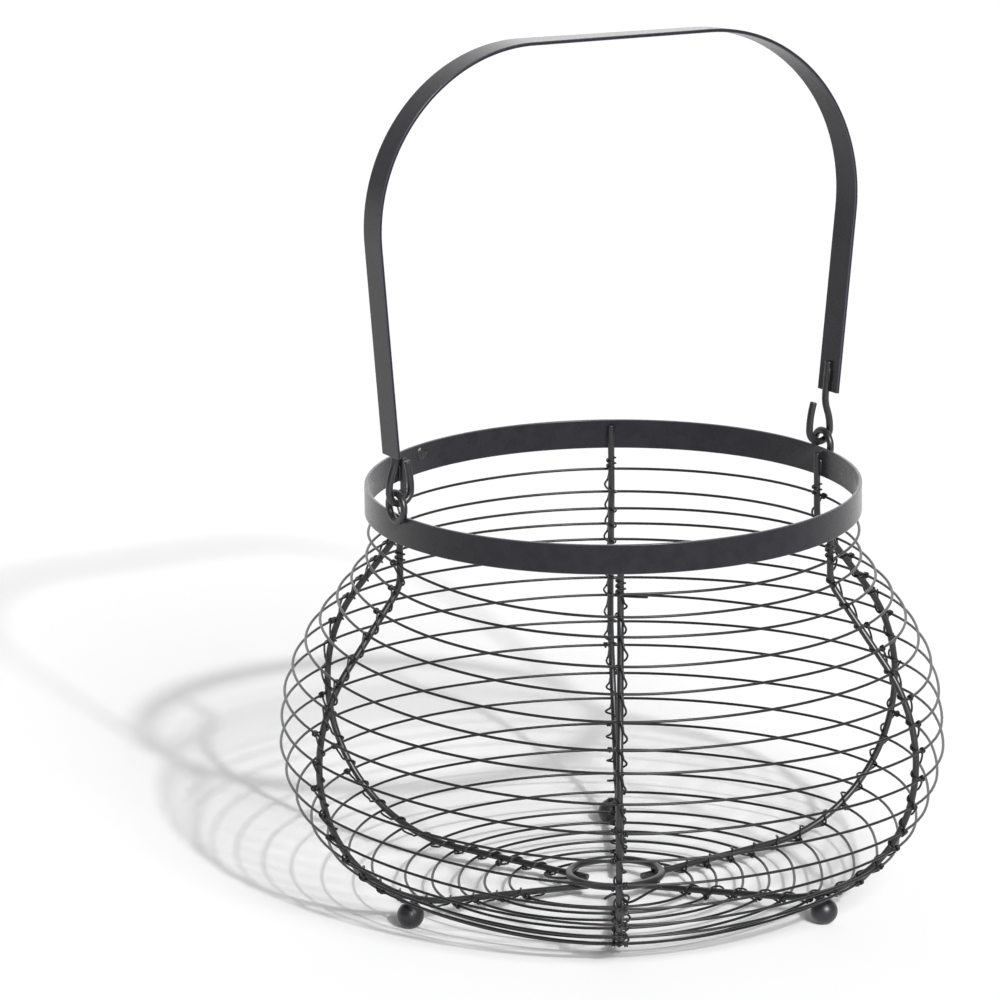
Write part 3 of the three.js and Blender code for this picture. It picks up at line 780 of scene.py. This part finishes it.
welds = {
    "phase": 6.0,  # start of a bead's ripple, up to this many radians
    "ribSide": (0.7, 0.6, 3.2), "ribPlace": (6.0, 1.1, 1.2),  # half axes, and down, out and aside
    "ribJitter": 1.0,  # up or down at most
    "ring": (1.2, 1.1, 0.8), "ringAside": 1.5, "ringLift": 0.4,
    "foot": (2.1, 2.1, 1.0), "footRipple": 0.05,
    "eye": (1.2, 1.5, 1.0), "eyeOut": 0.5, "eyeDrop": {"right": 2.6, "left": 1.3},
    "shank": (0.9, 0.8, 3.2), "shankShare": 0.55, "shankAside": 0.8,
    "seam": (2.0, 0.7, 1.9), "seamRipple": 0.16, "seamSink": 0.05,
    "seamBeads": ((-0.6, 2.7, 1.15), (0.4, 2.2, 1.35), (0.7, 3.9, 0.75)),  # step aside, height and size
}


def beadPhase():
    # start of a bead's ripple, drawn evenly from nearly a whole turn
    return handmade.uniform(0, welds["phase"])


def beadAxes(size, along, out):
    # half axes: across, out and along, each times its size
    along = unit(np.asarray(along, float))
    out = unit(out - np.dot(out, along) * along)
    return np.array([np.cross(out, along) * size[0], out * size[1], along * size[2]])


def basketWelds():
    # beads in the corners between rib and band, ring and rib, ball and rib, eye and band
    beads = []
    down, out, aside = welds["ribPlace"]
    for i, angle in enumerate(ribs["angles"]):
        facing = outOfRib(0.0, angle)
        for hand in (-1, 1):
            level = down + handmade.uniform(-1, 1) * welds["ribJitter"]
            place = onRib(level, angle, out, hand * aside + ribSway(i, down))
            beads.append(lump(place, beadAxes(welds["ribSide"], upright, facing), beadPhase()))
            under = np.array([np.cos(angle), np.sin(angle), 0]) * ringLine
            under = under + roundBasket(angle) * hand * welds["ringAside"]
            under[2] = ringLow[2] + welds["ringLift"]
            beads.append(lump(under, beadAxes(welds["ring"], roundBasket(angle), upright), beadPhase()))
    for centre in footCentres:
        angle = np.arctan2(centre[1], centre[0])
        reach = np.hypot(centre[0], centre[1])
        nearest = np.argmin((ribReach - reach) ** 2 + (ribHeight - centre[2]) ** 2)
        seat = onRib(ribDistance[nearest], angle, ribRadius)
        axes = beadAxes(welds["foot"], outOfRib(ribDistance[nearest], angle), roundBasket(angle))
        beads.append(lump(seat, axes, beadPhase(), ripple=welds["footRipple"]))
    for name, hand in (("right", 1), ("left", -1)):
        height = rimTop - welds["eyeDrop"][name]
        spread = np.sqrt(eyeLine ** 2 - (eyeCentres[name][2] - height) ** 2)
        for side in (-1, 1):
            place = np.array([hand * (rimRadius + welds["eyeOut"]), side * spread, height])
            beads.append(lump(place, beadAxes(welds["eye"], upright, hand * eyeSide), beadPhase()))
    return joinShapes(beads)


def handleWelds():
    # beads in the corners between shank and strip, on both sides of the shank
    beads = []
    for mirror in (1, -1):
        up = armUp(mirror)
        for side in (-1, 1):
            beside = hookRadius * welds["shankAside"]
            drawn = (shankFoot + up * hooks["shank"] * welds["shankShare"] + [beside, 0]) * [mirror, 1]
            place = onHandle(drawn, side * beside)[0]
            along = up[0] * mirror * swingX + up[1] * swingZ
            beads.append(lump(place, beadAxes(welds["shank"], along, swingX), beadPhase()))
    return joinShapes(beads)


def seamSpots():
    # one uneven patch of flattened beads on the inner face where the band's ends meet
    spots = []
    for step, height, size in welds["seamBeads"]:
        angle = np.radians(rimBand["seamAngle"]) + step * rimBand["seamWidth"] / 2 / rimRadius
        inwards = -np.array([np.cos(angle), np.sin(angle), 0])
        place = -inwards * (rimRadius - rimBand["thickness"] - welds["seamSink"])
        place = place + upright * (rimTop - rimHeight / 2 + height)
        axes = beadAxes(welds["seam"] * np.array([size, 1, size]), upright, inwards)
        spots.append(lump(place, axes, beadPhase(), ripple=welds["seamRipple"]))
    return joinShapes(spots)


addPiece("basketWelds", joinShapes([basketWelds(), seamSpots()]), wireCoat, "basket")
addPiece("hookWelds", handleWelds(), wireCoat, "handle")
print("welds: basket and hooks")

# Floor, light and camera

studio = {
    "floorSize": 40.0, "floorShades": (0.960, 0.965), "floorGrain": 4,  # metres, greys and noise per metre
    "sky": (0.14, 0.38, 2.00), "skyPower": 3,  # behind the camera, beside the basket and opposite the camera
    "skyOnMatt": 0.52,  # share of the sky that matt surfaces take, so that the key lamp's shadow shows
    "keyAzimuth": 23.4, "keyHeight": 32.0,
    "lamps": {"keyLamp": (0.62, 2.2), "softLamp": (0.92, 24.0)},  # strength, and degrees across
}
camera = {
    "distance": 3400, "azimuth": -32.67, "elevation": 17.62, "aimHeight": -1.06, "pan": -0.81, "tilt": 2.82,
    "roll": -0.55, "lens": 288.54, "sensor": 36.0, "seesTo": 100,  # seesTo in metres
}


def floorColour():
    # near-white matt floor with a faint unevenness
    material = bpy.data.materials.new("paleFloor")
    material.use_nodes = True
    nodes = material.node_tree.nodes
    shader = nodes["Principled BSDF"]
    noise = nodes.new("ShaderNodeTexNoise")
    noise.inputs["Scale"].default_value = studio["floorGrain"]
    ramp = nodes.new("ShaderNodeValToRGB")
    for stop, value in zip(ramp.color_ramp.elements, studio["floorShades"]):
        stop.color = (value, value, value, 1)
    place = nodes.new("ShaderNodeTexCoord")
    links = material.node_tree.links
    links.new(place.outputs["Object"], noise.inputs["Vector"])
    links.new(noise.outputs["Fac"], ramp.inputs["Fac"])
    links.new(ramp.outputs["Color"], shader.inputs["Base Color"])
    shader.inputs["Roughness"].default_value = 1.0
    shader.inputs["Specular IOR Level"].default_value = 0.0
    return material


half = studio["floorSize"] / 2
floorMesh = bpy.data.meshes.new("floor")
floorCorners = [(-half, -half, 0), (half, -half, 0), (half, half, 0), (-half, half, 0)]
floorMesh.from_pydata(floorCorners, [], [(0, 1, 2, 3)])
floorMesh.materials.append(floorColour())
floor = bpy.data.objects.new("floor", floorMesh)
bpy.context.scene.collection.objects.link(floor)


def skyLight():
    # white to the camera; as light, dim behind the camera and bright low down opposite it: the cosine of
    # the angle to that side grades it, its cube adds the brightest part, and matt surfaces take a share
    world = bpy.data.worlds.new("studio")
    world.use_nodes = True
    nodes = world.node_tree.nodes
    links = world.node_tree.links
    background = nodes["Background"]
    place = nodes.new("ShaderNodeTexCoord")
    facing = nodes.new("ShaderNodeVectorMath")
    facing.operation = "DOT_PRODUCT"
    across = np.radians(camera["azimuth"] + 90)
    facing.inputs[1].default_value = (np.cos(across), np.sin(across), 0)
    links.new(place.outputs["Generated"], facing.inputs[0])
    behind, beside, opposite = studio["sky"]
    near = nodes.new("ShaderNodeMapRange")
    near.inputs["From Min"].default_value = -1
    near.inputs["From Max"].default_value = 0
    near.inputs["To Min"].default_value = behind
    near.inputs["To Max"].default_value = beside
    links.new(facing.outputs["Value"], near.inputs["Value"])
    ahead = nodes.new("ShaderNodeClamp")
    links.new(facing.outputs["Value"], ahead.inputs["Value"])
    cube = nodes.new("ShaderNodeMath")
    cube.operation = "POWER"
    cube.inputs[1].default_value = studio["skyPower"]
    links.new(ahead.outputs["Result"], cube.inputs[0])
    light = nodes.new("ShaderNodeMath")
    light.operation = "MULTIPLY_ADD"
    light.inputs[1].default_value = opposite - beside
    links.new(cube.outputs["Value"], light.inputs[0])
    links.new(near.outputs["Result"], light.inputs[2])
    paths = nodes.new("ShaderNodeLightPath")
    matt = nodes.new("ShaderNodeMapRange")
    matt.inputs["To Min"].default_value = 1.0
    matt.inputs["To Max"].default_value = studio["skyOnMatt"]
    links.new(paths.outputs["Is Diffuse Ray"], matt.inputs["Value"])
    graded = nodes.new("ShaderNodeMath")
    graded.operation = "MULTIPLY"
    links.new(light.outputs["Value"], graded.inputs[0])
    links.new(matt.outputs["Result"], graded.inputs[1])
    strength = nodes.new("ShaderNodeMix")
    links.new(paths.outputs["Is Camera Ray"], strength.inputs[0])
    links.new(graded.outputs["Value"], strength.inputs[2])
    strength.inputs[3].default_value = 1.0
    links.new(strength.outputs[0], background.inputs["Strength"])
    background.inputs["Color"].default_value = (1, 1, 1, 1)
    bpy.context.scene.world = world


def aim(place, target):
    # matrix at a place whose -Z axis points at the target, with its X axis level
    back = unit(np.asarray(place, float) - target)
    right = unit(np.cross(upright, back))
    matrix = np.eye(4)
    matrix[:3, :3] = np.stack([right, np.cross(back, right), back], 1)
    matrix[:3, 3] = place
    return Matrix(matrix.tolist())


def addLamp(name):
    # far lamp to the right of the camera; pi times its strength lights a facing white sheet to that strength
    strength, width = studio["lamps"][name]
    azimuth, height = np.radians([studio["keyAzimuth"] + camera["azimuth"] - 90, studio["keyHeight"]])
    level = np.cos(height)
    direction = np.array([np.cos(azimuth) * level, np.sin(azimuth) * level, np.sin(height)])
    lamp = bpy.data.lights.new(name, "SUN")
    lamp.angle = np.radians(width)
    lamp.energy = strength * np.pi
    lampObject = bpy.data.objects.new(name, lamp)
    lampObject.matrix_world = aim(direction, np.zeros(3))
    bpy.context.scene.collection.objects.link(lampObject)


def photoCamera():
    # stands on a circle round the basket, then is panned, tilted and rolled by small angles
    azimuth, height = np.radians([camera["azimuth"] - 90, camera["elevation"]])
    pan, tilt, roll = np.radians([camera["pan"], camera["tilt"], camera["roll"]])
    back = np.array([np.cos(azimuth) * np.cos(height), np.sin(azimuth) * np.cos(height), np.sin(height)])
    right = unit(np.cross(upright, back))
    up = np.cross(back, right)
    ahead = unit(-back + np.tan(pan) * right + np.tan(tilt) * up)
    right = unit(np.cross(ahead, upright))
    up = np.cross(right, ahead)
    rolledRight = np.cos(roll) * right + np.sin(roll) * up
    rolledUp = -np.sin(roll) * right + np.cos(roll) * up
    matrix = np.eye(4)
    matrix[:3, :3] = np.stack([rolledRight, rolledUp, -ahead], 1)
    matrix[:3, 3] = (back * camera["distance"] + upright * camera["aimHeight"]) * mm
    data = bpy.data.cameras.new("photoCamera")
    data.sensor_width = camera["sensor"]
    data.lens = camera["lens"]
    data.clip_end = camera["seesTo"]
    eye = bpy.data.objects.new("photoCamera", data)
    eye.matrix_world = Matrix(matrix.tolist())
    bpy.context.scene.collection.objects.link(eye)
    bpy.context.scene.camera = eye


skyLight()
for name in studio["lamps"]:
    addLamp(name)
photoCamera()
bpy.context.scene.view_settings.view_transform = "Standard"
print("studio: floor, sky, lamps and camera")
